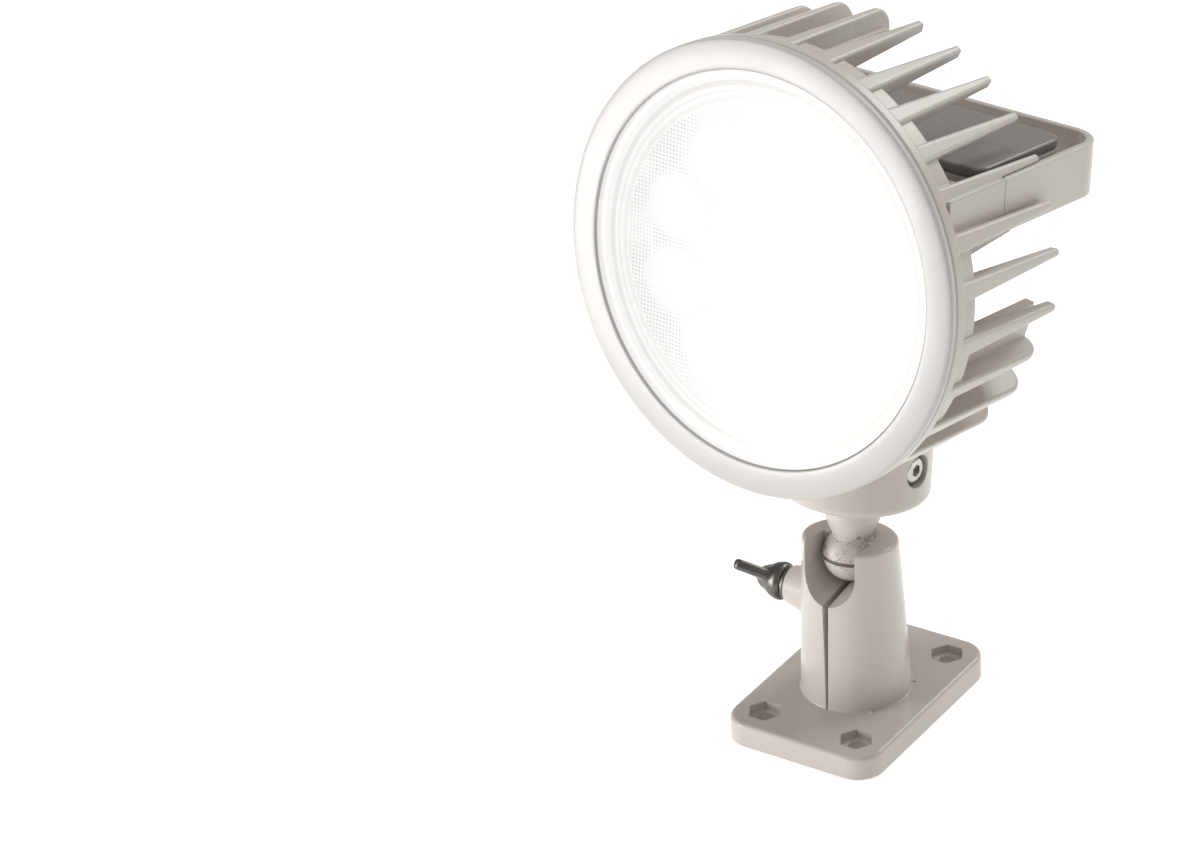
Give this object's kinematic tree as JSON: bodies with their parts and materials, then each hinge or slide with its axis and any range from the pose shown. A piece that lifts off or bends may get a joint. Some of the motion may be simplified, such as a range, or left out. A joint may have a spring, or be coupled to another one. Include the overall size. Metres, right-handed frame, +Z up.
{
  "type": "marine searchlight",
  "caption": "Round finned floodlight with a rear driver case on a ball stud, held in a split post with a wing screw on a bolted deck plate.",
  "frame": {"origin": "middle of the mounting plate's underside", "axes": "+Z up out of the deck, -Y the way the lamp looks, +X to the lamp's right as seen from behind it"},
  "size_m": [0.1636, 0.1259, 0.2758],
  "materials": {
    "cast_paint": "warm off-white satin powder coat",
    "bezel_paint": "off-white satin powder coat",
    "lid_paint": "warm grey satin powder coat",
    "mount_plastic": "off-white glossy moulding",
    "brass": "turned",
    "stainless": "fine ground",
    "stem_paint": "off-white coated bar",
    "seal_rubber": "matte",
    "white_rubber": "matte",
    "lens_clear": "clear with a fine pattern",
    "optic_clear": "clear moulding",
    "board": "white solder mask",
    "heat_pad": "grey pad",
    "led_yellow": "phosphor",
    "wire": "insulation",
    "gland_plastic": "moulded",
    "electronics": "moulded"
  },
  "bodies": {
    "mount": {"mount_base": "mount_plastic", "clamp_insert": "brass"},
    "clamp_washer": {"clamp_washer": "stainless"},
    "wing_screw": {"wing_screw": "stainless"},
    "ball_ring": {"ball_ring": "seal_rubber"},
    "lamp": {"ball_stud": "stem_paint", "cross_screw": "stainless", "cross_nut": "stainless", "housing": "cast_paint", "bezel": "bezel_paint", "bezel_screws": "stainless", "lens": "lens_clear", "lens_gasket": "seal_rubber", "optic_tray": "optic_clear", "led_board": "board", "led_pad": "heat_pad", "leds": "led_yellow", "board_screws": "stainless", "lamp_wires": "wire", "wire_grommet": "seal_rubber", "driver_case": "cast_paint", "lid_gasket": "seal_rubber", "driver_lid": "lid_paint", "lid_screws": "stainless", "case_screws": "stainless", "driver_board": "board", "driver_screws": "stainless", "driver_parts": "electronics", "gland_body": "gland_plastic", "gland_nut": "gland_plastic", "gland_cap": "gland_plastic", "gland_seal": "white_rubber", "vent_plug": "gland_plastic", "strap": "cast_paint", "strap_screws": "stainless"}
  },
  "joints": [
    {"name": "clamp_travel", "type": "slide", "parent": "mount", "child": "clamp_washer", "axis": [-1, 0, 0], "range_m": [0, 0.00187]},
    {"name": "wing_turn", "type": "hinge", "parent": "clamp_washer", "child": "wing_screw", "pos_m": [-0.0277, 0, 0.0435], "axis": [-1, 0, 0], "range_deg": [0, 540]},
    {"name": "ball_tilt", "type": "hinge", "parent": "mount", "child": "ball_ring", "pos_m": [0, 0, 0.064], "axis": [1, 0, 0], "range_deg": [-10, 75]},
    {"name": "lamp_turn", "type": "hinge", "parent": "ball_ring", "child": "lamp", "pos_m": [0, 0, 0.064], "axis": [0.0136, 0.1538, 0.988], "range_deg": [-180, 180]}
  ],
  "couplings": [
    {"joint": "wing_turn", "follows": "clamp_travel", "rad_per_m": 5026.5}
  ]
}
